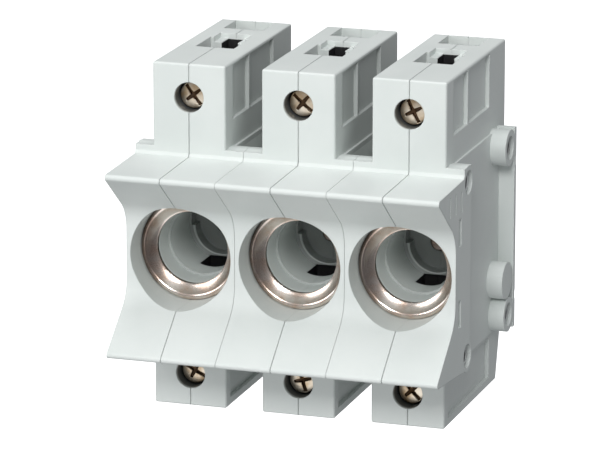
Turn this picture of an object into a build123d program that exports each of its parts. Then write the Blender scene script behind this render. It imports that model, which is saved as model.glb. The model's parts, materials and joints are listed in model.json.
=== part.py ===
"""Three-pole base for screw-cap cartridge fuses, clipped on a 35 mm mounting rail.

Frame: X across the poles, Y from the front to the back, Z up. The origin is the middle of
the seat that lies against the rail: the rail's face is the plane Y = 0 and its centre line
is Z = 0. Millimetres.
"""
from build123d import *
import os

# ---- overall sizes -------------------------------------------------------------------
pole_count = 3
pole_pitch = 27.0            # width of one pole, and spacing of the poles
tower_width = 18.0           # terminal towers, narrower than the pole
waist_step = 0.6             # how far the body between the towers stands out on each side
front_y = -44.0              # front face of the towers
back_y = 5.5                 # rearmost face, short of the rail's 7.5 mm depth
top_z = 45.0
bottom_z = -38.4
waist_top_z = 24.6
waist_bottom_z = -25.0
edge_round = 0.5

# ---- nose: the hollow front that passes through a 45 mm cover opening ------------------
lip_y = -66.2                # sharp corner of the lips, before rounding
lip_z = 22.1
lip_round = 0.8
valley_y = -50.7             # deepest line of the hollow front
valley_z = 10.0
valley_round = 9.0
nose_root_z = 22.6           # nose top where it meets the towers
nose_foot_z = -24.6
ledge_z = 24.8
nose_back_y = -38.5
seam = (0.2, 0.3)            # groove where the two mouldings of a pole meet: width, depth
joint_seam = (0.08, 0.15)    # fainter groove where two poles meet
cheek_groove_y = (-55.7, -51.1, -46.4)
cheek_groove_z = (18.4, 18.2, 17.6)
cheek_groove = (0.7, 5.0)    # upright grip grooves on the cheeks of the nose
cheek_groove_depth = 0.4

# ---- fuse cavity, axis along Y at Z = 0 ------------------------------------------------
cap_bore_r = 12.5
ring_seat_y = -40.9
sleeve_bore_r = 8.8
sleeve_end_y = -34.4
fuse_bore_r = 8.3
fuse_wall_y = -21.0
pocket_floor_y = -17.5
pocket_arc_step = 1.6        # the pocket is narrower than the fuse bore by these steps
pocket_corner_step = 0.3
pocket_side_step = 0.6
pocket_step_z = -0.3
window_half_width = 3.2
window_y = (-28.0, -20.0)
window_z = (-14.0, -7.5)

# ---- contact ring, strap and foot strap ------------------------------------------------
ring_side_gap = 0.8
ring_height = 3.1
ring_bulge = 0.75            # how far the rolled lip swells out of its chord
strap_thickness = 1.2
strap_width = 7.0
strap_clearance = 0.1
strap_lap = 0.9              # how far the line strap starts above the sleeve bore
strap_step_z = 14.8
strap_riser_y = -36.0
strap_shelf_z = 27.6
foot_plane_y = -15.9
foot_top_z = 5.0
foot_shelf_z = -21.6
button_r = 2.3
button_head = 1.4

# ---- terminals -------------------------------------------------------------------------
line_screw_z = 36.9
load_screw_z = -30.5
screw_head_r = 3.3
screw_head_gap = 0.35        # round the head in its hole
screw_head_y = (-40.9, -38.9)
screw_thread_r = 2.5
recess_depth = 1.2
recess_width = 0.95
recess_length = 4.3
bar_y = -26.1                # middle of the bar that the conductor is clamped against
bar_end = 4.3                # bar runs this far past the screw axis
tip_gap = 0.05
cage_height = 9.0
cage_half_width = 5.2
cage_side_wall = 1.0
cage_front_y = -32.4         # open position
cage_front_wall = 2.4
cage_back_wall = 1.5
cage_travel = 6.4            # eight turns of an M5 thread, 0.8 mm each
thread_clearance = 0.05
chamber_clearance = 0.3      # beside the cage
chamber_end_room = 0.8       # above and below the cage
entry_half_width = 4.8
entry_y = (-25.5, -14.5)
entry_slot_half_width = 2.0
entry_slot_back_y = -9.7
entry_step_half_width = 4.0
entry_step_depth = 1.2
rear_pocket_half_width = 5.0
rear_pocket_y = (-4.5, 4.5)
rear_pocket_depth = 12.0

# ---- side pockets ----------------------------------------------------------------------
side_pocket_depth = 1.0
line_pocket_y = (-38.5, -8.4)
line_pocket_z = (31.2, 44.2)
line_rib_y = -26.3
line_rib_width = 0.8
load_pocket_y = (-41.0, -6.5)
load_pocket_z = (-36.4, -26.2)
ear_recess_y = -47.4
ear_recess_z = (10.6, -9.0)
ear_recess_size = (2.2, 6.6)

# ---- rivets and bosses, as (y, z) ------------------------------------------------------
front_rivets = [(-40.8, 21.0), (-40.8, -20.9)]
rear_rivets = [(-5.3, 20.9), (-5.5, -20.3)]
spacer_boss = (-7.0, -11.5)
ear_r = 4.0
rear_boss_r = (4.4, 4.2)
spacer_r = 4.5
rivet_r = 2.2
rivet_wall = 0.5
rivet_head_step = 0.55
rivet_head = 0.6
rivet_clearance = 0.05
counterbore_clearance = 0.15
counterbore_depth = 1.5

# ---- rail slot, latch and spring -------------------------------------------------------
rail_half_height = 17.5      # 35 mm rail
rail_flange = 1.0
rail_clearance = 0.2
rail_relief_depth = 0.3      # below the hook, so that the rail's edge lies clear
rail_relief_gap = 0.4        # from the relief to the hook's end
flange_front_y = -1.5
foot_zone_z = (-24.5, 25.0)
hook_reach = 1.6             # overlap of hook and latch on the rail's edges
hook_y = rail_flange + rail_clearance
hook_thickness = 2.2
latch_half_width = 3.7
latch_y = (0.6, 3.6)
latch_tail_gap = 0.8         # from the tower's foot to the end of the tail
latch_travel = 3.5
guide_reach = 1.2            # how far the guides stand out of the latch's sides
guide_y = (0.6, 1.8)
guide_below_seat = (12.3, 2.3)
latch_clearance = 0.2
lug_y = (-3.0, 0.6)
lug_below_seat = (9.3, 7.5)
spring_floor_wall = 2.0      # between the spring's pocket and the tower's foot
spring_side_room = 0.25
spring_r = 1.2               # to the middle of the wire
spring_wire_r = 0.25
spring_turns = 6
spring_end_gap = 0.05
pull_slot = (4.0, 1.2)

half_pitch = pole_pitch / 2
waist_width = tower_width + 2 * waist_step
pocket_arc_r = fuse_bore_r - pocket_arc_step
pocket_corner_r = fuse_bore_r - pocket_corner_step
pocket_half_width = fuse_bore_r - pocket_side_step
ring_r = cap_bore_r - ring_side_gap
ring_throat_r = sleeve_bore_r
screw_hole_r = screw_head_r + screw_head_gap
rivet_head_r = rivet_r + rivet_head_step
counterbore_r = rivet_head_r + counterbore_clearance
cage_back_y = entry_y[1] + 0.1 + cage_back_wall
seat_half_height = rail_half_height + rail_clearance
hook_z = rail_half_height - hook_reach
relief_z = hook_z - rail_relief_gap
guide_half_width = latch_half_width + guide_reach
guide_z = tuple(-seat_half_height - below for below in guide_below_seat)
lug_z = tuple(-seat_half_height - below for below in lug_below_seat)
lug_half_width = spring_r + spring_wire_r + spring_side_room
latch_bottom_z = bottom_z + latch_tail_gap
spring_floor_z = bottom_z + spring_floor_wall
overall_half_width = pole_count * half_pitch


def side_plane(x):
    """Plane across X: its own axes are Y and Z."""
    return Plane.YZ.offset(x)


def inward_plane(x, y, z):
    """Plane that faces into the object from the front, so extruding runs towards +Y."""
    return Plane(origin=(x, y, z), x_dir=(-1, 0, 0), z_dir=(0, 1, 0))


def block(x_range, y_range, z_range, mode=Mode.ADD):
    """Box between three pairs of limits, added to or cut from the part being built."""
    spans = (x_range, y_range, z_range)
    with Locations(tuple(sum(span) / 2 for span in spans)):
        Box(*(span[1] - span[0] for span in spans), mode=mode)


def around(x, half_width):
    return (x - half_width, x + half_width)


def outline(*points):
    """Closed straight-sided face from (y, z) points, inside a side-plane sketch."""
    Polygon(*points, align=None)


def body_outline():
    outline(
        (front_y, bottom_z), (front_y, top_z), (back_y, top_z), (back_y, foot_zone_z[0]),
        (back_y - 1.8, foot_zone_z[0]), (-0.2, bottom_z),
    )


def nose_outline():
    """Nose section: two sharp lips joined by a hollow front, a ledge and the rivet ears."""
    with BuildSketch() as section:
        outline(
            (nose_back_y, nose_foot_z), (lip_y, -lip_z), (valley_y, -valley_z),
            (valley_y, valley_z), (lip_y, lip_z), (front_y, nose_root_z),
            (front_y, ledge_z), (nose_back_y, ledge_z),
        )
        fillet(section.vertices().group_by(Axis.X)[0], lip_round)
        hollow = section.vertices().filter_by_position(Axis.X, valley_y - 0.01, valley_y + 0.01)
        fillet(hollow, valley_round)
        with Locations(*front_rivets):
            Circle(ear_r)
    return section.sketch


def rail_cut_outline():
    """Room for the rail, with the fixed hook left over its upper edge."""
    for z_range in ((relief_z, seat_half_height), (-seat_half_height, -relief_z)):
        with Locations((0, sum(z_range) / 2)):
            Rectangle(2 * rail_relief_depth, z_range[1] - z_range[0])
    outline(
        (0, seat_half_height), (hook_y, seat_half_height), (hook_y, hook_z),
        (hook_y + hook_thickness, hook_z), (back_y + 1, seat_half_height - 0.1),
        (back_y + 1, -seat_half_height), (0, -seat_half_height),
    )


def strap_line(clearance, *points):
    """Bent strip seen from the side: straight runs through (y, z) points."""
    half = strap_thickness / 2 + clearance
    for (y0, z0), (y1, z1) in zip(points, points[1:]):
        with Locations(((y0 + y1) / 2, (z0 + z1) / 2)):
            Rectangle(abs(y1 - y0) + 2 * half, abs(z1 - z0) + 2 * half)


def line_strap_outline(clearance=0.0):
    start_y = ring_seat_y + strap_thickness / 2
    strap_line(
        clearance,
        (start_y, sleeve_bore_r + strap_lap), (start_y, strap_step_z),
        (strap_riser_y, strap_step_z), (strap_riser_y, strap_shelf_z),
        (bar_y, strap_shelf_z), (bar_y, line_screw_z + bar_end),
    )


def foot_strap_outline(clearance=0.0):
    strap_line(
        clearance,
        (foot_plane_y, foot_top_z), (foot_plane_y, foot_shelf_z),
        (bar_y, foot_shelf_z), (bar_y, load_screw_z - bar_end),
    )


def cut_terminal(x, screw_z, outer_z):
    """Screw hole, clamp chamber and conductor entry of one terminal. outer_z is the tower end."""
    outward = 1 if outer_z > screw_z else -1
    reach = cage_height / 2 + chamber_end_room
    inner_end = screw_z - outward * reach
    outer_end = screw_z + outward * reach
    chamber_front = screw_head_y[1] - 0.1
    with BuildSketch(inward_plane(x, front_y - 1, screw_z)) as hole:
        Circle(screw_hole_r)
    extrude(hole.sketch, amount=chamber_front - front_y + 2, mode=Mode.SUBTRACT)
    block(
        around(x, cage_half_width + chamber_clearance),
        (chamber_front, cage_back_y + chamber_clearance),
        sorted((inner_end, outer_end)), mode=Mode.SUBTRACT,
    )
    beyond = outer_z + outward
    block(around(x, entry_half_width), entry_y, sorted((outer_end, beyond)), mode=Mode.SUBTRACT)
    step_z = outer_z - outward * entry_step_depth
    slot_y = (entry_y[1] - 0.1, entry_slot_back_y)
    block(around(x, entry_step_half_width), slot_y, sorted((step_z, beyond)), mode=Mode.SUBTRACT)
    block(
        around(x, entry_slot_half_width), slot_y, sorted((inner_end, beyond)),
        mode=Mode.SUBTRACT,
    )


def cut_side_pockets(x):
    """Shallow fields on both flanks of the towers and of the nose."""
    for side in (-1, 1):
        face_x = x + side * tower_width / 2
        depth = sorted((face_x - side * side_pocket_depth, face_x + side))
        for y_range in (
            (line_pocket_y[0], line_rib_y - line_rib_width / 2),
            (line_rib_y + line_rib_width / 2, line_pocket_y[1]),
        ):
            block(depth, y_range, line_pocket_z, mode=Mode.SUBTRACT)
        block(depth, load_pocket_y, load_pocket_z, mode=Mode.SUBTRACT)
        nose_x = x + side * half_pitch
        nose_depth = sorted((nose_x - side * side_pocket_depth, nose_x + side))
        for z in ear_recess_z:
            block(
                nose_depth, around(ear_recess_y, ear_recess_size[0] / 2),
                around(z, ear_recess_size[1] / 2), mode=Mode.SUBTRACT,
            )
        groove_depth = sorted((nose_x - side * cheek_groove_depth, nose_x + side))
        for y, z in zip(cheek_groove_y, cheek_groove_z):
            block(
                groove_depth, around(y, cheek_groove[0] / 2), around(z, cheek_groove[1] / 2),
                mode=Mode.SUBTRACT,
            )


def cut_fuse_cavity(x):
    rounds = (
        (cap_bore_r, lip_y, ring_seat_y),
        (sleeve_bore_r, ring_seat_y, sleeve_end_y),
        (fuse_bore_r, sleeve_end_y, fuse_wall_y),
        (button_r + strap_clearance, fuse_wall_y, foot_plane_y),
    )
    for radius, start, end in rounds:
        with BuildSketch(inward_plane(x, start, 0)) as bore:
            Circle(radius)
        extrude(bore.sketch, amount=end - start, mode=Mode.SUBTRACT)
    with BuildSketch(inward_plane(x, fuse_wall_y, 0)) as pocket:
        with Locations((0, pocket_step_z)):
            Circle(pocket_arc_r)
        with Locations((0, (fuse_bore_r + pocket_step_z) / 2)):
            Rectangle(2 * pocket_half_width, fuse_bore_r - pocket_step_z)
        Circle(pocket_corner_r, mode=Mode.INTERSECT)
    extrude(pocket.sketch, amount=pocket_floor_y - fuse_wall_y, mode=Mode.SUBTRACT)
    block(around(x, window_half_width), window_y, window_z, mode=Mode.SUBTRACT)


def cut_latch_way(x):
    """Channel that the latch slides in, its side grooves and the spring pocket."""
    gap = latch_clearance
    block(
        around(x, latch_half_width + gap), (latch_y[0] - gap, back_y + 1),
        (bottom_z - 1, -seat_half_height + 0.1), mode=Mode.SUBTRACT,
    )
    block(
        around(x, guide_half_width + gap), (guide_y[0] - gap, guide_y[1] + gap),
        (guide_z[0] - latch_travel - 1, guide_z[1] + gap), mode=Mode.SUBTRACT,
    )
    block(
        around(x, lug_half_width + gap), (lug_y[0] - gap, lug_y[1]),
        (spring_floor_z, lug_z[1] + gap), mode=Mode.SUBTRACT,
    )


def cut_rivet_holes(x):
    start = x - half_pitch - 1
    with BuildSketch(side_plane(start)) as holes:
        with Locations(*front_rivets, *rear_rivets):
            Circle(rivet_r + rivet_clearance)
    extrude(holes.sketch, amount=pole_pitch + 2, mode=Mode.SUBTRACT)
    for side in (-1, 1):
        with BuildSketch(side_plane(x + side * (half_pitch - counterbore_depth))) as mouths:
            with Locations(*front_rivets, *rear_rivets):
                Circle(counterbore_r)
        extrude(mouths.sketch, amount=side * (counterbore_depth + 1), mode=Mode.SUBTRACT)


def cut_seam(x, groove_size, *sections):
    """Shallow groove round the outside of the mouldings at the plane X = x."""
    width, depth = groove_size
    with BuildSketch() as core:
        for section in sections:
            add(section)
        offset(amount=-depth)
    with BuildSketch(side_plane(x)) as groove:
        for section in sections:
            add(section)
        offset(amount=1.0, kind=Kind.INTERSECTION)
        add(core.sketch, mode=Mode.SUBTRACT)
    extrude(groove.sketch, amount=width / 2, both=True, mode=Mode.SUBTRACT)


def pole_housing(x):
    """Both mouldings of one pole as one block, ready to be parted at the plane X = x."""
    nose = nose_outline()
    with BuildSketch() as tower:
        body_outline()
    with BuildPart() as housing:
        with BuildSketch(side_plane(x)):
            add(tower.sketch)
        extrude(amount=tower_width / 2, both=True)
        fillet(housing.edges(), edge_round)
        block(
            around(x, waist_width / 2), (nose_back_y, 0), (waist_bottom_z, waist_top_z),
        )
        with BuildSketch(side_plane(x)):
            outline(
                (flange_front_y, foot_zone_z[0]), (flange_front_y, foot_zone_z[1]),
                (0, foot_zone_z[1]), (0, foot_zone_z[0]),
            )
        extrude(amount=half_pitch, both=True)
        with BuildSketch(side_plane(x)):
            for centre, radius in zip(rear_rivets, rear_boss_r):
                with Locations(centre):
                    Circle(radius)
            with Locations(spacer_boss):
                Circle(spacer_r)
        extrude(amount=half_pitch, both=True)
        with BuildSketch(side_plane(x)):
            add(nose)
        extrude(amount=half_pitch, both=True)

        with BuildSketch(side_plane(x)):
            rail_cut_outline()
        extrude(amount=half_pitch + 1, both=True, mode=Mode.SUBTRACT)
        cut_seam(x, seam, nose, tower.sketch)
        for edge_x in (x - half_pitch, x + half_pitch):
            cut_seam(edge_x, joint_seam, nose)
        cut_fuse_cavity(x)
        cut_terminal(x, line_screw_z, top_z)
        cut_terminal(x, load_screw_z, bottom_z)
        block(
            around(x, rear_pocket_half_width), rear_pocket_y,
            (top_z - rear_pocket_depth, top_z + 1), mode=Mode.SUBTRACT,
        )
        with BuildSketch(side_plane(x)):
            line_strap_outline(strap_clearance)
            foot_strap_outline(strap_clearance)
        extrude(amount=strap_width / 2 + strap_clearance, both=True, mode=Mode.SUBTRACT)
        cut_side_pockets(x)
        cut_latch_way(x)
        cut_rivet_holes(x)
    return housing.part


def half_shell(x, housing, keep):
    with BuildPart() as shell:
        add(housing)
        split(bisect_by=side_plane(x), keep=keep)
    return shell.part


def thread_ring(x):
    """Contact ring with a rolled lip that swells towards the fuse axis."""
    chord_mid = ((ring_r + ring_throat_r) / 2, ring_seat_y - ring_height / 2)
    length = ((ring_r - ring_throat_r) ** 2 + ring_height ** 2) ** 0.5
    swell = (
        chord_mid[0] - ring_bulge * ring_height / length,
        chord_mid[1] - ring_bulge * (ring_r - ring_throat_r) / length,
    )
    with BuildPart() as ring:
        with BuildSketch(Plane.XY.shift_origin((x, 0, 0))):
            with BuildLine():
                Polyline(
                    (ring_throat_r, ring_seat_y), (ring_r, ring_seat_y),
                    (ring_r, ring_seat_y - ring_height),
                )
                ThreePointArc(
                    (ring_r, ring_seat_y - ring_height), swell, (ring_throat_r, ring_seat_y)
                )
            make_face()
        revolve(axis=Axis((x, 0, 0), (0, 1, 0)))
    return ring.part


def line_strap(x):
    with BuildPart() as strap:
        with BuildSketch(side_plane(x)):
            line_strap_outline()
        extrude(amount=strap_width / 2, both=True)
    return strap.part


def foot_strap(x):
    with BuildPart() as strap:
        with BuildSketch(side_plane(x)):
            foot_strap_outline()
        extrude(amount=strap_width / 2, both=True)
    return strap.part


def contact_button(x):
    """Domed contact brazed on the foot strap, which the fuse link stands on."""
    strap_face = foot_plane_y - strap_thickness / 2
    head_front = pocket_floor_y - button_head
    with BuildPart() as button:
        with BuildSketch(inward_plane(x, head_front, 0)):
            Circle(button_r)
        extrude(amount=strap_face - head_front)
        fillet(button.faces().sort_by(Axis.Y)[0].edges(), 0.5)
    return button.part


def terminal_screw(x, z):
    head_front, head_back = screw_head_y
    tip = bar_y - strap_thickness / 2 - tip_gap
    with BuildPart() as screw:
        with BuildSketch(inward_plane(x, head_front, z)):
            Circle(screw_head_r)
        extrude(amount=head_back - head_front)
        fillet(screw.faces().sort_by(Axis.Y)[0].edges(), 0.3)
        with BuildSketch(inward_plane(x, head_back, z)):
            Circle(screw_thread_r)
        extrude(amount=tip - head_back)
        chamfer(screw.faces().sort_by(Axis.Y)[-1].edges(), 0.5)
        with BuildSketch(inward_plane(x, head_front, z)):
            Rectangle(recess_length, recess_width)
            Rectangle(recess_width, recess_length)
        extrude(amount=recess_depth, mode=Mode.SUBTRACT)
    return screw.part


def clamp_cage(x, z):
    """Frame round the bar: a tapped front wall, two sides and the wall that lifts the wire."""
    inner = cage_half_width - cage_side_wall
    z_range = around(z, cage_height / 2)
    with BuildPart() as cage:
        block(around(x, cage_half_width), (cage_front_y, cage_back_y), z_range)
        block(
            around(x, inner),
            (cage_front_y + cage_front_wall, cage_back_y - cage_back_wall),
            around(z, cage_height), mode=Mode.SUBTRACT,
        )
        with BuildSketch(inward_plane(x, cage_front_y - 1, z)):
            Circle(screw_thread_r + thread_clearance)
        extrude(amount=cage_front_wall + 2, mode=Mode.SUBTRACT)
    return cage.part


def rail_latch(x):
    """Slide with a nose behind the rail's lower edge and a slotted tail for a screwdriver."""
    nose_top = -hook_z
    shoulder = -seat_half_height - latch_clearance
    with BuildPart() as latch:
        block(around(x, latch_half_width), latch_y, (latch_bottom_z, shoulder))
        with BuildSketch(side_plane(x)):
            outline(
                (hook_y, shoulder), (hook_y, nose_top), (hook_y + hook_thickness / 2, nose_top),
                (latch_y[1], shoulder + 0.2), (latch_y[1], shoulder),
            )
        extrude(amount=latch_half_width, both=True)
        block(around(x, guide_half_width), guide_y, guide_z)
        block(around(x, lug_half_width), lug_y, lug_z)
        with BuildSketch(inward_plane(x, latch_y[0] - 1, latch_bottom_z + 2.2)):
            Rectangle(*pull_slot)
        extrude(amount=latch_y[1] - latch_y[0] + 2, mode=Mode.SUBTRACT)
    return latch.part


def latch_spring(x):
    """Compression spring between the latch's lug and the floor of its pocket."""
    axis_y = lug_y[0] + lug_half_width
    low = spring_floor_z + spring_end_gap + spring_wire_r
    height = lug_z[0] - spring_end_gap - spring_wire_r - low
    with BuildPart() as spring:
        with BuildLine() as wire:
            Helix(height / spring_turns, height, spring_r, center=(x, axis_y, low))
        with BuildSketch(Plane(origin=wire.line @ 0, z_dir=wire.line % 0)):
            Circle(spring_wire_r)
        sweep()
    return spring.part


def through_rivets():
    """Tubular rivets that hold the three poles side by side, with a flared head at each end."""
    reach = overall_half_width - counterbore_depth
    with BuildPart() as rivets:
        with BuildSketch(side_plane(-reach)):
            with Locations(*front_rivets, *rear_rivets):
                Circle(rivet_r)
        extrude(amount=2 * reach)
        for side in (-1, 1):
            with BuildSketch(side_plane(side * reach)):
                with Locations(*front_rivets, *rear_rivets):
                    Circle(rivet_head_r)
            extrude(amount=side * rivet_head)
        with BuildSketch(side_plane(-reach - 1)):
            with Locations(*front_rivets, *rear_rivets):
                Circle(rivet_r - rivet_wall)
        extrude(amount=2 * reach + 2, mode=Mode.SUBTRACT)
    return rivets.part


def save(part, name):
    part.label = name
    export_step(part, f"parts/{name}.step")


os.makedirs("parts", exist_ok=True)
for index in range(pole_count):
    x = (index - (pole_count - 1) / 2) * pole_pitch
    pole = f"pole_{index + 1}"
    housing = pole_housing(x)
    save(half_shell(x, housing, Keep.BOTTOM), f"{pole}_left_shell")
    save(half_shell(x, housing, Keep.TOP), f"{pole}_right_shell")
    save(thread_ring(x), f"{pole}_thread_ring")
    save(line_strap(x), f"{pole}_line_strap")
    save(foot_strap(x), f"{pole}_foot_strap")
    save(contact_button(x), f"{pole}_contact_button")
    for terminal, z in (("line", line_screw_z), ("load", load_screw_z)):
        save(terminal_screw(x, z), f"{pole}_{terminal}_screw")
        save(clamp_cage(x, z), f"{pole}_{terminal}_cage")
    save(rail_latch(x), f"{pole}_rail_latch")
    save(latch_spring(x), f"{pole}_latch_spring")
save(through_rivets(), "through_rivets")
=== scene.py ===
# %% [markdown]
# # A three-pole screw-cap fuse base
# The base clips on a 35 mm rail in an electrical panel. Three light grey mouldings stand side by
# side; each has a deep round cavity with a metal ring for the fuse cap, and a terminal tower above
# and below. The mechanical design is loaded as a fixed frame, and this lesson gives it its looks:
# the finish of every part, and finer pieces where the plain design is too simple to be seen.

import json
import math

import bmesh
import bpy
import numpy as np
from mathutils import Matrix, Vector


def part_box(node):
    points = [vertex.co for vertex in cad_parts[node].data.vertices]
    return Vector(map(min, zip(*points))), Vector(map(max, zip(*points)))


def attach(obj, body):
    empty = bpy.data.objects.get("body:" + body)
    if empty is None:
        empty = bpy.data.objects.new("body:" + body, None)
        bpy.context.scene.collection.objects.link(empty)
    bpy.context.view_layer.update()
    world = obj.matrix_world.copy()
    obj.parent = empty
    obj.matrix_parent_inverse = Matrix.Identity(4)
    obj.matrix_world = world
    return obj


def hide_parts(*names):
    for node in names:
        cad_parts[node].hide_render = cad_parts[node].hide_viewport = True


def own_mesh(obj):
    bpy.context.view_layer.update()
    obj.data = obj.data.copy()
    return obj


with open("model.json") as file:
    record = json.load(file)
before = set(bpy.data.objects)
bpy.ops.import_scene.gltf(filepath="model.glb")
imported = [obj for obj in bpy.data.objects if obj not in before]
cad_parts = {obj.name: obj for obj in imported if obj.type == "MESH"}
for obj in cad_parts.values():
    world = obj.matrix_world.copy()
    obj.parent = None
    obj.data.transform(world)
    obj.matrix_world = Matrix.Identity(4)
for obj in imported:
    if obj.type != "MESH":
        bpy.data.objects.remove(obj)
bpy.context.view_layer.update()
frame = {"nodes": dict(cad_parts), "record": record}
MM = 0.001
POLES = [f"pole_{number}" for number in (1, 2, 3)]

# %% [markdown]
# Every size comes from the frame. The middle and the half size of a node's box are enough to
# place a ring, a screw or a spring, because the axes of all of them are parallel to the frame's.


# %% Read places from the frame
def centre_and_half(node):
    """Middle and half size of a node's box, as two numpy arrays in metres."""
    low, high = (np.array(corner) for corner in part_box(node))
    return (low + high) / 2, (high - low) / 2


pole_x = [centre_and_half(f"{pole}_thread_ring")[0][0] for pole in POLES]
print("pole axes at", [round(x / MM, 2) for x in pole_x], "mm")

# %% [markdown]
# The camera stands in front, to the right and above, and is far away behind a long lens, as for a
# catalogue picture. The key stands above the camera, so the lips of the cavities shade their back
# walls and light only the lower left of each bore. A panel on the left, one overhead and a weak
# wide one below lift the flanks, the tops and the undersides, and a pale surround fills the rest.

# %% Camera
CAMERA_AZIMUTH = math.radians(18.24)
CAMERA_ELEVATION = math.radians(14.81)
CAMERA_DISTANCE = 1.1174
CAMERA_LENS = 282.35
CAMERA_TARGET = np.array([-4.36, -29.5, 4.26]) * MM


def looking_from(azimuth, elevation):
    """Unit vector from the object towards a viewer at that azimuth and elevation."""
    return np.array([
        math.sin(azimuth) * math.cos(elevation),
        -math.cos(azimuth) * math.cos(elevation),
        math.sin(elevation),
    ])


def aim(item, place, target):
    """Puts a camera or a light at place, with its own -Z axis towards target."""
    direction = target - place
    flat = math.hypot(direction[0], direction[1])
    item.location = place
    item.rotation_euler = (
        math.pi / 2 + math.atan2(direction[2], flat), 0, math.atan2(-direction[0], direction[1]),
    )


camera = bpy.data.objects.new("camera", bpy.data.cameras.new("camera"))
bpy.context.scene.collection.objects.link(camera)
bpy.context.scene.camera = camera
camera.data.lens = CAMERA_LENS
camera.data.sensor_width = 36
camera.data.clip_end = 20
toward_viewer = looking_from(CAMERA_AZIMUTH, CAMERA_ELEVATION)
aim(camera, CAMERA_TARGET + CAMERA_DISTANCE * toward_viewer, CAMERA_TARGET)
print("camera", [round(v, 3) for v in camera.location])


# %% Lights and surround
def soft_panel(name, azimuth, elevation, distance, size, power):
    """Square area light facing the object. Angles in degrees, lengths in metres, watts."""
    light = bpy.data.lights.new(name, "AREA")
    light.size = size
    light.energy = power
    panel = bpy.data.objects.new(name, light)
    bpy.context.scene.collection.objects.link(panel)
    place = looking_from(math.radians(azimuth), math.radians(elevation)) * distance
    aim(panel, place, np.zeros(3))
    print(name, [round(v, 2) for v in panel.location])


soft_panel("key_panel", azimuth=12, elevation=31, distance=1.1, size=0.3, power=5.2)
soft_panel("left_panel", azimuth=-48, elevation=26, distance=0.85, size=0.45, power=2.3)
soft_panel("low_panel", azimuth=-11, elevation=-34, distance=1.1, size=0.9, power=2.8)
soft_panel("top_panel", azimuth=10, elevation=80, distance=0.9, size=0.4, power=2.6)

world = bpy.data.worlds.new("surround")
bpy.context.scene.world = world
world.use_nodes = True
surround = world.node_tree.nodes["Background"]
surround.inputs["Color"].default_value = (0.95, 0.97, 1.0, 1)
surround.inputs["Strength"].default_value = 0.32
bpy.context.scene.view_settings.view_transform = "Standard"

# %% [markdown]
# ## Shader arithmetic
# A material is easier to read as sums and products than as a web of nodes. The class below wraps
# one socket: an expression on wrapped sockets adds the Math nodes it needs, and any other node is
# made by the one method `node`, which sets the node's settings first and then its sockets.


# %% Socket arithmetic
class Wire:
    """One socket of a node tree, usable in arithmetic on numbers that vary over a surface."""

    def __init__(self, tree, socket=None):
        self.tree = tree
        self.socket = socket

    def node(self, kind, settings=None, sockets=None, output=0):
        """Adds a node. settings are the node's attributes; sockets are values or Wires."""
        made = self.tree.nodes.new(kind)
        for key, value in (settings or {}).items():
            setattr(made, key, value)
        for key, value in (sockets or {}).items():
            if isinstance(value, Wire):
                self.tree.links.new(value.socket, made.inputs[key])
            else:
                made.inputs[key].default_value = value
        return Wire(self.tree, made.outputs[output])

    def math(self, operation, *others):
        """A Math node whose first operand is this socket."""
        operands = dict(enumerate((self, *others)))
        return self.node("ShaderNodeMath", {"operation": operation}, operands)

    def __add__(self, other):
        return self.math("ADD", other)

    def __sub__(self, other):
        return self.math("SUBTRACT", other)

    def __mul__(self, other):
        return self.math("MULTIPLY", other)

    __radd__ = __add__
    __rmul__ = __mul__

    def __rsub__(self, other):
        return self.node("ShaderNodeMath", {"operation": "SUBTRACT"}, {0: other, 1: self})

    def __mod__(self, other):
        return self.math("MODULO", other)

    def parts(self):
        """The three numbers of these coordinates, each as a Wire."""
        return [self.node("ShaderNodeSeparateXYZ", None, {0: self}, axis) for axis in range(3)]

    def inside(self, low, high, edge=0.05 * MM):
        """1 between low and high and 0 outside, with edges of that softness."""
        return self.between(low - edge, low + edge) * (1 - self.between(high - edge, high + edge))

    def between(self, low, high):
        """0 at or under low, 1 at or over high, smooth in between."""
        settings = {"interpolation_type": "SMOOTHSTEP"}
        limits = {"Value": self, "From Min": low, "From Max": high}
        return self.node("ShaderNodeMapRange", settings, limits)

    def noise(self, scale, detail=2.0, roughness=0.5):
        """Grey noise from these coordinates, around 0.5; scale is in cycles per metre."""
        sockets = {"Vector": self, "Scale": scale, "Detail": detail, "Roughness": roughness}
        return self.node("ShaderNodeTexNoise", None, sockets, "Fac")

    def stretched(self, scale):
        """These coordinates times three numbers, which draws a pattern out along an axis."""
        return self.node("ShaderNodeMapping", None, {"Vector": self, "Scale": scale})

    def mix_colour(self, low, high):
        """Colour low where this is 0 and high where it is 1.

        The sockets go by number, since a Mix node has several named A and B: its factor is the
        first, its two colours the seventh and eighth, and the mixed colour the third output."""
        sockets = {0: self, 6: low, 7: high}
        return self.node("ShaderNodeMix", {"data_type": "RGBA"}, sockets, output=2)


def start_material(name):
    """New material: its principled shader, and two Wires with object and surface coordinates."""
    material = bpy.data.materials.new(name)
    material.use_nodes = True
    tree = material.node_tree
    blank = Wire(tree)
    place = blank.node("ShaderNodeTexCoord", output="Object")
    surface = blank.node("ShaderNodeTexCoord", output="UV")
    return material, tree.nodes["Principled BSDF"], place, surface


def plug(shader, **sockets):
    """Sets or links sockets of a shader; underscores in the names stand for spaces."""
    for key, value in sockets.items():
        socket = shader.inputs[key.replace("_", " ")]
        if isinstance(value, Wire):
            value.tree.links.new(value.socket, socket)
        else:
            socket.default_value = value


print("socket arithmetic ready")
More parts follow.
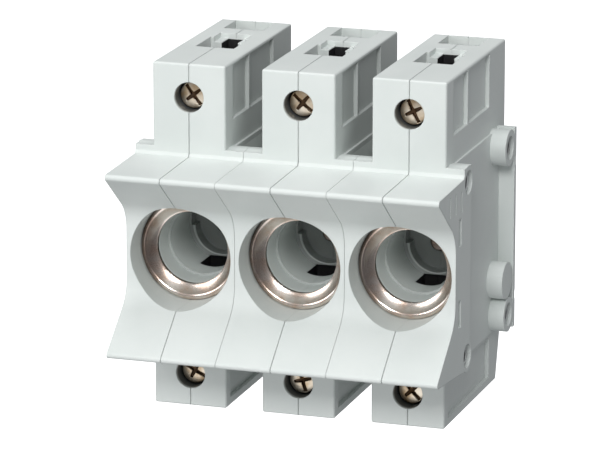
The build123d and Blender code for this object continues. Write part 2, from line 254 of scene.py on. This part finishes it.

# %% [markdown]
# ## Moulded plastic
# The shells are a light grey, slightly green thermoset. Up close such a moulding has a fine
# spark-eroded grain, slow clouds of tone where the powder flowed, and patches that are a little
# glossier where the tool was smooth. The grain is a bump of about two hundredths of a millimetre.
# Deep holes and slots, the fuse bores, and the flanks that face each other get painted shade, a
# share of a dark tone by place.


# %% Where shade is painted on the moulding
POLE_PITCH = pole_x[1] - pole_x[0]
SCREW_Z = [centre_and_half(f"pole_2_{terminal}_screw")[0][2] for terminal in ("line", "load")]
shell_middle, shell_half = centre_and_half("pole_2_left_shell")
TOWER_TOP = shell_middle[2] + shell_half[2]
SHADOW_TONE = (0.012, 0.012, 0.013)


def wrapped_to_pole(x):
    """x measured from the axis of the pole that it lies in."""
    return (x + 1.5 * POLE_PITCH) % POLE_PITCH - POLE_PITCH / 2


def centre_slot_shade(local_x, y, z):
    """1 in the narrow slot that runs down the middle of each pole."""
    across = local_x.inside(-2.1 * MM, 2.1 * MM)
    return across * y.inside(-14.7 * MM, -9.4 * MM) * z.inside(-38.2 * MM, 43.6 * MM)


def window_shade(local_x, y, z):
    """1 in the window in the lower wall of the fuse bore."""
    across = local_x.inside(-3.35 * MM, 3.35 * MM)
    return across * y.inside(-28.1 * MM, -19.8 * MM) * z.inside(-14.2 * MM, -7.8 * MM)


def bore_shade(local_x, y, z):
    """Shares for the fuse bore: its floor, the ledge in front of that, the step behind the
    ring, and a trace on the upper half of its wall."""
    from_axis = (local_x * local_x + z * z).math("SQRT")
    bore = 1 - from_axis.between(8.75 * MM, 8.85 * MM)
    floor = bore * y.inside(-20.95 * MM, -17.0 * MM) * 0.45
    ledge = bore * y.inside(-21.1 * MM, -20.9 * MM) * from_axis.between(7.2 * MM, 7.4 * MM) * 0.4
    step = bore * y.inside(-34.5 * MM, -34.3 * MM) * 0.3
    wall = bore * y.between(-36.0 * MM, -22.0 * MM) * (1 - y.between(-21.2 * MM, -21.1 * MM))
    return floor + ledge + step + wall * z.between(-6.0 * MM, 4.0 * MM) * 0.05


def gap_shade(x, local_x, y, z):
    """A share that grows inwards on the flanks where two upper towers face each other."""
    flank = (local_x * local_x).between((7.8 * MM) ** 2, (7.9 * MM) ** 2)
    between_poles = x.inside(-1.2 * POLE_PITCH, 1.2 * POLE_PITCH)
    height = z.inside(23.4 * MM, TOWER_TOP - 0.2 * MM)
    return flank * between_poles * y.between(-39.0 * MM, -27.0 * MM) * height * 0.28


def screw_hole_shade(local_x, y, z, screw_z):
    """A share that grows over the mouth of the hole in front of a screw."""
    above = z - screw_z
    off_axis = (local_x * local_x + above * above).math("SQRT")
    in_hole = 1 - off_axis.between(3.7 * MM, 3.9 * MM)
    along = y.between(-43.95 * MM, -42.6 * MM) * (1 - y.between(-38.0 * MM, -36.0 * MM))
    return in_hole * along * 0.85


def deep_shade(place):
    """Share of dark tone, for the places that light hardly enters; 0 on all other plastic."""
    x, y, z = place.parts()
    local_x = wrapped_to_pole(x)
    shade = centre_slot_shade(local_x, y, z) + window_shade(local_x, y, z)
    shade += bore_shade(local_x, y, z) + gap_shade(x, local_x, y, z)
    for screw_z in SCREW_Z:
        shade += screw_hole_shade(local_x, y, z, screw_z)
    return shade


print("screw holes at", [round(z / MM, 1) for z in SCREW_Z], "mm, towers end at",
      round(TOWER_TOP / MM, 1), "mm")


# %% Plastic finishes
GRAIN_HEIGHT = 0.02 * MM
EDGE_ROUNDING = 0.3 * MM


def moulded_plastic(name, light, dark, roughness):
    """Fine-grained plastic between two tones, with painted shade in the holes and softened edges.
    """
    material, shader, place, _ = start_material(name)
    clouds = place.noise(60.0, 4.0, 0.55).between(0.3, 0.7)
    specks = place.noise(1500.0, 2.0).between(0.62, 0.75)
    tone = clouds.mix_colour((*dark, 1), (*light, 1))
    speckled = (specks * 0.35).mix_colour(tone, (*dark, 1))
    # painted shade in the holes, the slots, the fuse bores and between the towers
    shaded = deep_shade(place).mix_colour(speckled, (*SHADOW_TONE, 1))
    fine = place.noise(5200.0, 3.0, 0.6)
    coarse = place.noise(900.0, 2.0)
    height = fine + coarse * 0.6
    rounded = place.node("ShaderNodeBevel", {"samples": 6}, {"Radius": EDGE_ROUNDING})
    grained = {"Height": height, "Distance": GRAIN_HEIGHT, "Strength": 0.35, "Normal": rounded}
    bump = place.node("ShaderNodeBump", None, grained, "Normal")
    plug(
        shader, Base_Color=shaded, Roughness=clouds * 0.08 + coarse * 0.05 + roughness,
        Normal=bump, IOR=1.5,
    )
    return material


housing_plastic = moulded_plastic(
    "housing_plastic", (0.700, 0.735, 0.715), (0.665, 0.705, 0.685), 0.40
)
latch_plastic = moulded_plastic("latch_plastic", (0.20, 0.21, 0.21), (0.16, 0.17, 0.17), 0.45)
print("plastics:", housing_plastic.name, latch_plastic.name)

# %% [markdown]
# ## Metals
# The contact ring is rolled from brass sheet and nickel plated, so it keeps fine marks that run
# round it. Its side towards -X and its deep parts are darkened with a brown tone by place, a
# painted dark reflection and painted shade. The marks follow the surface, so they show on the
# rings, the screws and the springs, which are made below. Cages and rivets are plated steel and
# the strip conductors dull tin; as they come from the frame, they have only the clouds of tone.


# %% Metal finishes
# Brown tone of the painted dark reflection and painted shade on the rings' metal
PAINTED_REFLECTION_AND_SHADE_TONE = (0.10, 0.07, 0.06)
# Tone of the painted shade in the recess of a screw head
RECESS_SHADE_TONE = (0.05, 0.022, 0.008)


def painted_reflection_and_shade_share(place):
    """Painted dark reflection and painted shade: 1 on the side of each pole's metal that lies
    towards -X, and on what lies deep.
    """
    x, y, _ = place.parts()
    deep = y.between(-30 * MM, -25 * MM)
    return 1 - wrapped_to_pole(x).between(-10.6 * MM, -6.0 * MM) * (1 - deep)


def recess_shade_share(place, head_front):
    """Painted shade: 1 in the recess of a screw head, whose face starts at y = head_front."""
    depth = place.parts()[1] - head_front
    return depth.between(0.2 * MM, 0.62 * MM) * (1 - depth.between(1.4 * MM, 1.6 * MM))


def plated_metal(name, bright, worn, roughness, marks=(1, 1, 1), painted_darkening=0.0, head_front=None):
    """Metal with two tones in clouds and fine marks.

    marks draws the scratches out, the next argument is how far the metal gets a painted dark
    reflection on one side and painted shade deep inside, and head_front is given for screws, whose
    recess gets painted shade."""
    material, shader, place, surface = start_material(name)
    clouds = place.noise(220.0, 3.0, 0.6).between(0.35, 0.7)
    lines = surface.stretched(marks).noise(40.0, 4.0, 0.65)
    tone = clouds.mix_colour((*bright, 1), (*worn, 1))
    if painted_darkening:
        # painted dark reflection on the -X side of each pole's metal, painted shade on deep metal
        tone = (painted_reflection_and_shade_share(place) * painted_darkening).mix_colour(tone, (*PAINTED_REFLECTION_AND_SHADE_TONE, 1))
    if head_front is not None:
        # painted shade in the recess of a screw head
        tone = (recess_shade_share(place, head_front) * 0.95).mix_colour(tone, (*RECESS_SHADE_TONE, 1))
    bump = place.node(
        "ShaderNodeBump", None, {"Height": lines, "Distance": 0.004 * MM, "Strength": 0.5},
        "Normal",
    )
    plug(
        shader, Base_Color=tone, Metallic=1.0, Normal=bump,
        Roughness=lines * 0.16 + clouds * 0.06 + roughness,
    )
    return material


# the rings get painted dark reflection and painted shade at a share of 0.75
ring_plating = plated_metal(
    "ring_plating", (0.80, 0.72, 0.66), (0.62, 0.47, 0.38), 0.14, marks=(0.15, 14, 1), painted_darkening=0.75
)
strap_plating = plated_metal("strap_plating", (0.70, 0.67, 0.62), (0.55, 0.50, 0.44), 0.34)
screw_middle, screw_half = centre_and_half("pole_2_line_screw")
screw_steel = plated_metal(
    "screw_steel", (0.80, 0.72, 0.60), (0.52, 0.36, 0.20), 0.24,
    head_front=float(screw_middle[1] - screw_half[1]),
)
cage_steel = plated_metal("cage_steel", (0.55, 0.56, 0.57), (0.42, 0.43, 0.44), 0.36)
rivet_steel = plated_metal("rivet_steel", (0.66, 0.67, 0.68), (0.50, 0.50, 0.50), 0.30)
spring_steel = plated_metal("spring_steel", (0.48, 0.48, 0.50), (0.36, 0.36, 0.37), 0.28)
print("metals ready")

FINISH_OF_SLOT = {
    "housing_plastic": housing_plastic,
    "latch_plastic": latch_plastic,
    "ring_plating": ring_plating,
    "strap_plating": strap_plating,
    "screw_steel": screw_steel,
    "cage_steel": cage_steel,
    "rivet_steel": rivet_steel,
    "spring_steel": spring_steel,
}
for part in frame["record"]["subparts"]:
    cad_object = frame["nodes"][part["node"]]
    cad_object.data.materials.clear()
    cad_object.data.materials.append(FINISH_OF_SLOT[part["material_slot"]])

# %% [markdown]
# ## Surfaces from formulas
# A piece that is turned, rolled or wound is one surface: its points are a grid over two
# parameters. The helper below turns such a grid into a mesh, joins the seam where the grid closes
# on itself, and writes the two parameters as UV coordinates, so that scratches can follow them.


# %% Grid surfaces
def grid_piece(name, points, material, close_rows=False, close_columns=False):
    """Mesh from points[row, column]; each quad joins neighbours in both directions."""
    rows, columns = points.shape[:2]
    row = np.arange(rows if close_rows else rows - 1)
    column = np.arange(columns if close_columns else columns - 1)
    r, c = (a.ravel() for a in np.meshgrid(row, column, indexing="ij"))
    r_next, c_next = (r + 1) % rows, (c + 1) % columns
    corners = ((r, c), (r, c_next), (r_next, c_next), (r_next, c))
    quads = np.stack([i * columns + j for i, j in corners], axis=1)
    mesh = bpy.data.meshes.new(name)
    mesh.from_pydata(points.reshape(-1, 3).tolist(), [], quads.tolist())
    along = [(r, c), (r, c + 1), (r + 1, c + 1), (r + 1, c)]
    uv = np.stack([np.stack([j / columns, i / rows], axis=-1) for i, j in along], axis=1)
    layer = mesh.uv_layers.new(name="surface")
    layer.data.foreach_set("uv", uv.ravel().astype(np.float32))
    mesh.materials.append(material)
    close_poles_and_face_out(mesh)
    piece = bpy.data.objects.new(name, mesh)
    bpy.context.scene.collection.objects.link(piece)
    return piece


def close_poles_and_face_out(mesh):
    """Merges points that fall together, drops faces left with no area, turns faces outward."""
    shape = bmesh.new()
    shape.from_mesh(mesh)
    bmesh.ops.remove_doubles(shape, verts=shape.verts, dist=1e-7)
    bmesh.ops.dissolve_degenerate(shape, dist=1e-8, edges=shape.edges)
    bmesh.ops.recalc_face_normals(shape, faces=shape.faces)
    for face in shape.faces:
        face.smooth = True
    shape.to_mesh(mesh)
    shape.free()


def turned(radius, along, centre, steps):
    """Points of a profile carried round an axis along Y through centre: for each (radius, along)
    pair a ring of steps points, at radius times (cos t, sin t) across the axis."""
    t = np.linspace(0, 2 * np.pi, steps, endpoint=False)
    radius, along = np.atleast_1d(radius), np.atleast_1d(along)
    across_1 = radius[:, None] * np.cos(t)
    across_2 = radius[:, None] * np.sin(t)
    lengthwise = np.broadcast_to(along[:, None], across_1.shape)
    return np.stack([across_1, lengthwise, across_2], axis=-1) + np.asarray(centre)


def arc(centre, radius, start, end, count=12):
    """Points of an arc, two columns; angles in degrees."""
    t = np.radians(np.linspace(start, end, count))
    return np.stack([centre[0] + radius * np.cos(t), centre[1] + radius * np.sin(t)], axis=1)


print("surface helpers ready")

# %% [markdown]
# ## Contact rings
# The ring is pressed from sheet: a flat brim in the wall of the bore, a narrow rim, a dished front
# and a small roll at the throat. It is made as the closed outline of the sheet, carried round the
# fuse axis. The outline is a front line, and the same line moved back by the sheet's thickness.


# %% Make the contact rings
SHEET = 0.7 * MM
RING_DEPTH = 2.3 * MM
RING_WIDTH = 2.9 * MM
RIM_RADIUS = 0.1 * MM
ROLL_RADIUS = 0.28 * MM
BRIM_WIDTH = 0.7 * MM
BRIM_HEIGHT = 0.9 * MM


def ring_front_line(outer, back):
    """Front line of the bent sheet as (radius, y) points, from the brim to the throat.

    It starts with a flat brim, rises over a narrow rim, and then is a cubic curve
    P = (1-t)^3 P0 + 3 (1-t)^2 t P1 + 3 (1-t) t^2 P2 + t^3 P3, which falls steeply from the rim
    and flattens towards the throat, where a small roll ends it."""
    front, throat = back - RING_DEPTH, outer - RING_WIDTH
    brim_y = back - BRIM_HEIGHT
    brim = np.array([[outer + BRIM_WIDTH, brim_y], [outer, brim_y]])
    crown = arc((outer - RIM_RADIUS, front + RIM_RADIUS), RIM_RADIUS, 0, -110, 10)
    t = np.linspace(0, 1, 48)[1:, None]
    p0 = crown[-1]
    p1 = np.array([outer - 1.1 * MM, back - 1.35 * MM])
    p2 = np.array([throat + 0.9 * MM, back - 0.68 * MM])
    p3 = np.array([throat + ROLL_RADIUS, back - 0.5 * MM])
    curve = (1 - t) ** 3 * p0 + 3 * (1 - t) ** 2 * t * p1 + 3 * (1 - t) * t**2 * p2 + t**3 * p3
    lip = arc((p3[0], p3[1] + ROLL_RADIUS), ROLL_RADIUS, -90, -180, 10)[1:]
    return np.vstack([brim, crown, curve, lip])


def sheet_outline(line, back):
    """Closed outline of a sheet with that front line: the line, and the same line moved one
    sheet thickness along its normal, kept within the line's radii and in front of back."""
    step = np.gradient(line, axis=0)
    normal = np.stack([step[:, 1], -step[:, 0]], axis=1)
    normal /= np.linalg.norm(normal, axis=1, keepdims=True)
    inner = (line - normal * SHEET)[::-1]
    inner[:, 0] = np.clip(inner[:, 0], line[:, 0].min(), line[:, 0].max())
    outline = np.vstack([line, inner])
    outline[:, 1] = np.minimum(outline[:, 1], back)
    return outline


def contact_ring(pole):
    """Outline of the bent sheet, turned round the fuse axis."""
    centre, half = centre_and_half(f"{pole}_thread_ring")
    back = centre[1] + half[1]
    outline = sheet_outline(ring_front_line(half[0], back), back)
    points = turned(outline[:, 0], outline[:, 1], (centre[0], 0, centre[2]), steps=160)
    ring = grid_piece(f"{pole}_ring", points, ring_plating, close_rows=True, close_columns=True)
    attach(ring, "housing")
    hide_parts(f"{pole}_thread_ring")
    return ring


rings = [contact_ring(pole) for pole in POLES]
print("rings:", len(rings), "of", len(rings[0].data.polygons), "faces")

# %% [markdown]
# ## Terminal screws
# A terminal screw has a cylindrical head with a cross recess and a slot, so that two kinds of
# driver fit. The head's face is a height over the polar plane: a low dome, less a smooth step
# inside the cross and the slot. The shank is a surface whose radius rises and falls once per
# pitch, and once round the axis, which is what makes a thread a helix.


# %% Make the terminal screws
THREAD_PITCH = 0.8 * MM
THREAD_DEPTH = 0.42 * MM
THREAD_RADIUS = 2.5 * MM
TIP_TAPER = 0.35 * MM
HEAD_LENGTH = 2.0 * MM
HEAD_CORNER = 0.35 * MM
DOME_FALL = 0.22 * MM
RECESS_EDGE = 0.07 * MM
SLOT_HALF_WIDTH = 0.36 * MM
SLOT_DEPTH = 0.62 * MM
ROUND_STEPS = 144
SLOT_ANGLES = {"line": (52, 40, 63), "load": (28, 75, 47)}


def smooth_step(value, low, high):
    """3 t^2 - 2 t^3 with t going from 0 at low to 1 at high: a step with soft corners."""
    t = np.clip((value - low) / (high - low), 0, 1)
    return t * t * (3 - 2 * t)


def driver_recess(x, y, head_radius):
    """Depth of the recess at points of the head: a cross that deepens to the middle, and a slot."""
    r = np.hypot(x, y)
    arm = np.minimum(np.abs(x), np.abs(y))
    reach = 0.66 * head_radius
    width = 0.26 * MM + 0.26 * MM * (1 - r / reach).clip(0)
    cross = 1 - smooth_step(arm, width, width + RECESS_EDGE)
    cross *= 1 - smooth_step(r, reach - RECESS_EDGE, reach + RECESS_EDGE)
    cross_depth = (1.25 - 0.55 * (r / reach).clip(0, 1)) * MM
    slot = 1 - smooth_step(np.abs(y), SLOT_HALF_WIDTH, SLOT_HALF_WIDTH + RECESS_EDGE)
    return np.maximum(cross * cross_depth, slot * SLOT_DEPTH)


def head_points(head_radius, front, angle):
    """Rows of the head: its low dome from the middle out, its round edge and its underside."""
    t = np.linspace(0, 2 * np.pi, ROUND_STEPS, endpoint=False)
    face_r = np.linspace(0, head_radius - HEAD_CORNER, 60)
    face_y = front + DOME_FALL * (face_r / head_radius) ** 2
    across_1, across_2 = face_r[:, None] * np.cos(t + angle), face_r[:, None] * np.sin(t + angle)
    face = turned(face_r, face_y, (0, 0, 0), ROUND_STEPS)
    face[..., 1] += driver_recess(across_1, across_2, head_radius)
    corner_middle = (head_radius - HEAD_CORNER, face_y[-1] + HEAD_CORNER)
    edge = arc(corner_middle, HEAD_CORNER, -90, 0, 8)[1:]
    under_y = front + HEAD_LENGTH
    skirt = np.vstack([edge, [[head_radius, under_y], [0.80 * head_radius, under_y]]])
    return np.concatenate([face, turned(skirt[:, 0], skirt[:, 1], (0, 0, 0), ROUND_STEPS)])


def thread_points(start, tip):
    """Rows of the shank. Its radius is THREAD_RADIUS less THREAD_DEPTH times a triangle wave of
    y / pitch - t / 2 pi, and tapers over the last 0.8 mm before the tip."""
    t = np.linspace(0, 2 * np.pi, ROUND_STEPS, endpoint=False)
    along = np.arange(start, tip, THREAD_PITCH / 8)
    phase = along[:, None] / THREAD_PITCH - t[None, :] / (2 * np.pi)
    wave = np.abs(2 * (phase % 1) - 1)
    full = smooth_step(tip - along, 0, 0.8 * MM)[:, None]
    radius = THREAD_RADIUS - THREAD_DEPTH * wave - (1 - full) * TIP_TAPER
    lengthwise = np.broadcast_to(along[:, None], radius.shape)
    thread = np.stack([radius * np.cos(t), lengthwise, radius * np.sin(t)], axis=-1)
    end = turned([THREAD_RADIUS * 0.6, 0.0], [tip, tip], (0, 0, 0), ROUND_STEPS)
    return np.concatenate([thread, end])


def screw_surface(centre, half, angle):
    """Rows of rings from the middle of the head, over its rim and down the thread to the tip."""
    front, tip = centre[1] - half[1], centre[1] + half[1]
    head = head_points(half[0], front, angle)
    thread = thread_points(front + HEAD_LENGTH, tip)
    return np.concatenate([head, thread]) + np.array([centre[0], 0, centre[2]])


def terminal_screw(pole, terminal, angle):
    """Screw of one terminal, with its driver slot turned to that angle in degrees."""
    node = f"{pole}_{terminal}_screw"
    centre, half = centre_and_half(node)
    points = screw_surface(centre, half, math.radians(angle))
    screw = grid_piece(f"{pole}_{terminal}_terminal_screw", points, screw_steel, close_columns=True)
    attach(screw, node)
    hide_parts(node)
    return screw


screws = [
    terminal_screw(pole, terminal, SLOT_ANGLES[terminal][number])
    for terminal in ("line", "load")
    for number, pole in enumerate(POLES)
]
print("screws:", len(screws), "of", len(screws[0].data.polygons), "faces")

# %% [markdown]
# ## Latch springs
# Each latch is pushed up by a small compression spring. Its wire is a tube round a helix, and the
# helix lies flat for most of a turn at both ends, as on a ground spring.

# %% Make the latch springs
SPRING_TURNS = 6.5
SPRING_WIRE = 0.25 * MM
WIRE_STEPS = 14
LATCH_TRAVEL = 3.5 * MM


def latch_spring(pole):
    """Tube round a helix. The helix rises as t - 0.11 sin(2 pi t), so more slowly near both ends,
    and each cross-section is a circle in the plane square to it."""
    centre, half = centre_and_half(f"{pole}_latch_spring")
    coil = half[0] - SPRING_WIRE
    height = 2 * (half[2] - SPRING_WIRE)
    t = np.linspace(0, 1, 260)
    rise = (t - 0.11 * np.sin(2 * np.pi * t)) * height - height / 2
    turn = 2 * np.pi * SPRING_TURNS * t
    path = np.stack([coil * np.cos(turn), coil * np.sin(turn), rise], axis=1)
    ahead = np.gradient(path, axis=0)
    ahead /= np.linalg.norm(ahead, axis=1, keepdims=True)
    outward = np.stack([np.cos(turn), np.sin(turn), np.zeros_like(turn)], axis=1)
    upward = np.cross(ahead, outward)
    s = np.linspace(0, 2 * np.pi, WIRE_STEPS, endpoint=False)
    ring = outward[:, None] * np.cos(s)[:, None] + upward[:, None] * np.sin(s)[:, None]
    tube = path[:, None] + SPRING_WIRE * ring
    first, last = (np.repeat(path[i][None, None], WIRE_STEPS, axis=1) for i in (0, -1))
    points = np.concatenate([first, tube, last]) + centre
    spring = grid_piece(f"{pole}_coil_spring", points, spring_steel, close_columns=True)
    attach(spring, "housing")
    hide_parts(f"{pole}_latch_spring")
    anchor = (centre[0], centre[1], centre[2] - half[2])
    keep = 1 - LATCH_TRAVEL / (2 * half[2])
    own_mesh(spring)
    return spring


springs = [latch_spring(pole) for pole in POLES]
print("springs:", len(springs))

# %% [markdown]
# ## Backdrop
# The base hangs in front of a luminous white sheet, as on a light table, so nothing around it
# shows. The sheet is far behind and square to the view, and adds almost no light of its own.


# %% Make the backdrop
BACKDROP_DISTANCE = 1.6
BACKDROP_HALF_SIZE = 0.3


def backdrop():
    """Flat square sheet, square to the camera's axis and centred on it."""
    across = np.array([math.cos(CAMERA_AZIMUTH), math.sin(CAMERA_AZIMUTH), 0])
    upward = np.cross(across, -toward_viewer)
    middle = CAMERA_TARGET - BACKDROP_DISTANCE * toward_viewer
    s = np.linspace(-BACKDROP_HALF_SIZE, BACKDROP_HALF_SIZE, 5)
    points = middle + s[:, None, None] * upward + s[None, :, None] * across
    material, shader, place, _ = start_material("luminous_sheet")
    tone = place.noise(9.0).mix_colour((0.80, 0.80, 0.80, 1), (0.86, 0.86, 0.86, 1))
    plug(shader, Base_Color=tone, Roughness=0.8, Emission_Color=(1, 1, 1, 1), Emission_Strength=1)
    sheet = grid_piece("backdrop_sheet", points, material)


backdrop()
print("backdrop stands", BACKDROP_DISTANCE, "m behind")
